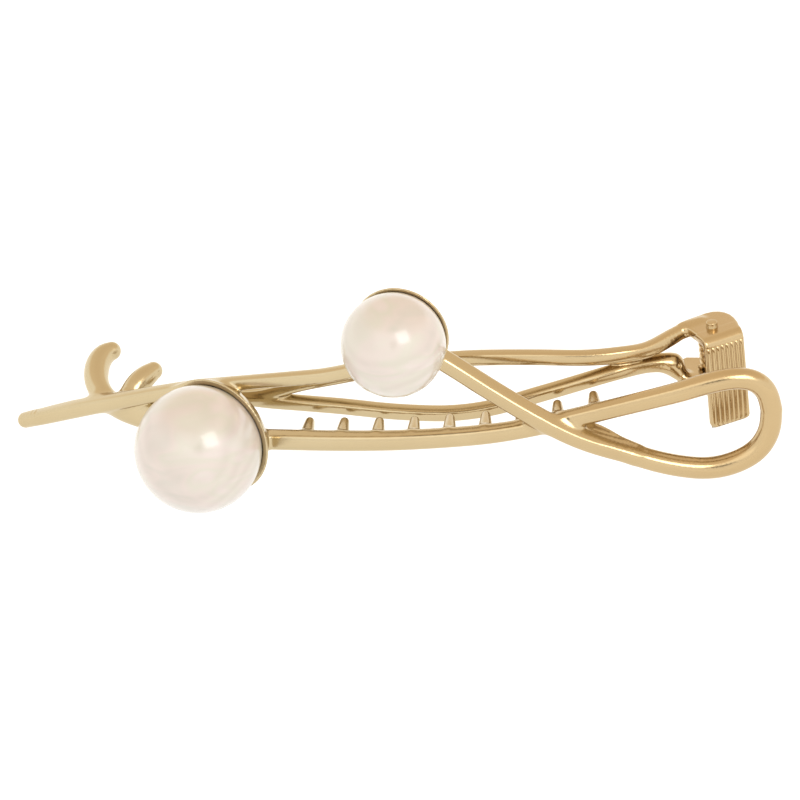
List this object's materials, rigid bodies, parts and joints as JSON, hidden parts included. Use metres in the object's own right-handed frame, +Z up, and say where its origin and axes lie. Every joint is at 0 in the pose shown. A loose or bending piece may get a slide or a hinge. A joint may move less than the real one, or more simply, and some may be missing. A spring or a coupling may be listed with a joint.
{
  "type": "hair clip",
  "caption": "Gold-plated spring hair clip: a ribbon-shaped front half with faux pearls and comb teeth, hinged by a pin and torsion spring to an eye-shaped back half with a ribbed thumb tab",
  "frame": {"origin": "the middle of the clip's footprint, level with its lowest point, standing on its long edge as worn", "axes": "+X along the clip towards the hinge and end loop, +Y from the pearls to the back half, +Z up as worn"},
  "size_m": [0.1022, 0.0318, 0.0327],
  "materials": {
    "gold_plate": "polished pale gold plating on cast zinc alloy",
    "spring_wire": "gold-plated spring steel wire",
    "pearl": "ivory pearl lacquer on an acrylic bead",
    "adhesive": "cured clear-cream adhesive"
  },
  "bodies": {
    "front": {"front_tail": "gold_plate", "front_upper_strand": "gold_plate", "front_cross_rod_upper": "gold_plate", "front_cross_rod_lower": "gold_plate", "end_loop_lower": "gold_plate", "end_loop_turn": "gold_plate", "end_loop_upper": "gold_plate", "front_return_strand": "gold_plate", "front_lower_strand_middle": "gold_plate", "front_lower_strand_pearl": "gold_plate", "large_cup": "gold_plate", "small_cup": "gold_plate", "large_pearl": "pearl", "small_pearl": "pearl", "large_adhesive": "adhesive", "small_adhesive": "adhesive", "comb_tooth_1": "gold_plate", "comb_tooth_2": "gold_plate", "comb_tooth_3": "gold_plate", "comb_tooth_4": "gold_plate", "comb_tooth_5": "gold_plate", "comb_tooth_6": "gold_plate", "comb_tooth_7": "gold_plate", "comb_tooth_8": "gold_plate", "comb_tooth_9": "gold_plate", "claw_palm": "gold_plate", "claw_prong_long": "gold_plate", "claw_prong_short": "gold_plate", "front_hinge_ear": "gold_plate"},
    "back": {"back_tip": "gold_plate", "back_upper_strand_tip": "gold_plate", "back_upper_strand_hinge": "gold_plate", "back_lower_strand_tip": "gold_plate", "back_lower_strand_hinge": "gold_plate", "upper_hinge_arm": "gold_plate", "lower_hinge_arm": "gold_plate", "upper_hinge_lug": "gold_plate", "lower_hinge_lug": "gold_plate", "thumb_tab": "gold_plate", "hinge_pin": "gold_plate", "torsion_spring": "spring_wire"}
  },
  "joints": [
    {"name": "hinge_swing", "type": "hinge", "parent": "front", "child": "back", "pos_m": [0.04103, 0.01097, 0.0151], "axis": [0, 0, -1], "range_deg": [0, 30], "stiffness_Nm_per_rad": 0.05, "springref_deg": -34.38, "deforming": ["torsion_spring"]}
  ]
}
